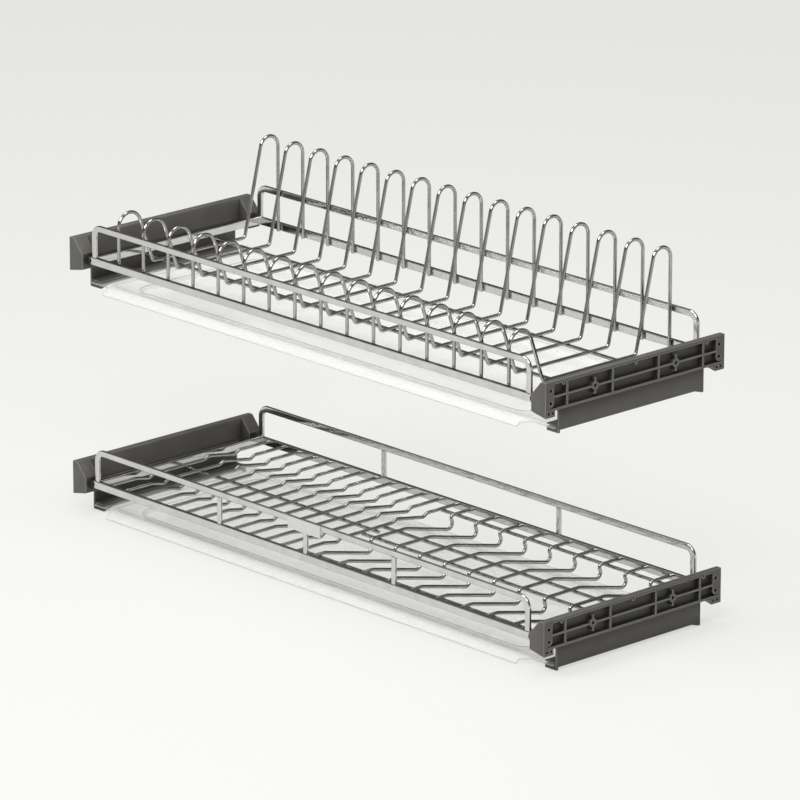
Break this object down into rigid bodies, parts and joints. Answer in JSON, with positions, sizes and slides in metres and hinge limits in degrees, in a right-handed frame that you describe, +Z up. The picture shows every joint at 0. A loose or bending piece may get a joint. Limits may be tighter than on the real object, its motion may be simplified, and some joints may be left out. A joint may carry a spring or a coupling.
{
  "type": "cabinet dish rack",
  "caption": "Tiered cabinet dish rack with plate dividers above, cup and bowl wires below, guards and a sliding clear drip tray under each tier.",
  "frame": {"origin": "on the ground under the middle of the rack, at the feet of the lower tray rails", "axes": "+X along the rack to the right, +Y from the front to the back, +Z up"},
  "size_m": [0.864, 0.3, 0.4657],
  "materials": {
    "bracket_plastic": "moulded, fine grain, warm dark grey",
    "polished_steel": "polished stainless steel",
    "badge_steel": "satin, bare",
    "black_bush": "matte black",
    "clear_plastic": "clear moulded plastic, smooth"
  },
  "bodies": {
    "racks": {"badge_plate": "badge_steel", "bowl_cross_rods": "polished_steel", "bowl_wires": "polished_steel", "cup_cross_rod": "polished_steel", "cup_wires": "polished_steel", "lower_front_bar": "polished_steel", "lower_front_guard": "polished_steel", "lower_front_guard_posts": "polished_steel", "lower_left_bracket": "bracket_plastic", "lower_left_side_bar": "polished_steel", "lower_left_tray_rail": "bracket_plastic", "lower_pin_bushes": "black_bush", "lower_pivot_pins": "polished_steel", "lower_rear_bar": "polished_steel", "lower_rear_guard": "polished_steel", "lower_rear_guard_posts": "polished_steel", "lower_right_bracket": "bracket_plastic", "lower_right_side_bar": "polished_steel", "lower_right_tray_rail": "bracket_plastic", "plate_divider_01": "polished_steel", "plate_divider_02": "polished_steel", "plate_divider_03": "polished_steel", "plate_divider_04": "polished_steel", "plate_divider_05": "polished_steel", "plate_divider_06": "polished_steel", "plate_divider_07": "polished_steel", "plate_divider_08": "polished_steel", "plate_divider_09": "polished_steel", "plate_divider_10": "polished_steel", "plate_divider_11": "polished_steel", "plate_divider_12": "polished_steel", "plate_divider_13": "polished_steel", "plate_divider_14": "polished_steel", "plate_divider_15": "polished_steel", "plate_divider_16": "polished_steel", "upper_cross_rods": "polished_steel", "upper_front_bar": "polished_steel", "upper_front_guard": "polished_steel", "upper_left_bracket": "bracket_plastic", "upper_left_side_bar": "polished_steel", "upper_left_tray_rail": "bracket_plastic", "upper_pin_bushes": "black_bush", "upper_pivot_pins": "polished_steel", "upper_rear_bar": "polished_steel", "upper_rear_guard": "polished_steel", "upper_right_bracket": "bracket_plastic", "upper_right_side_bar": "polished_steel", "upper_right_tray_rail": "bracket_plastic"},
    "upper_tray": {"upper_drip_tray": "clear_plastic"},
    "lower_tray": {"lower_drip_tray": "clear_plastic"}
  },
  "joints": [
    {"name": "upper_tray_slide", "type": "slide", "parent": "racks", "child": "upper_tray", "axis": [0, -1, 0], "range_m": [0, 0.2]},
    {"name": "lower_tray_slide", "type": "slide", "parent": "racks", "child": "lower_tray", "axis": [0, -1, 0], "range_m": [0, 0.2]}
  ]
}
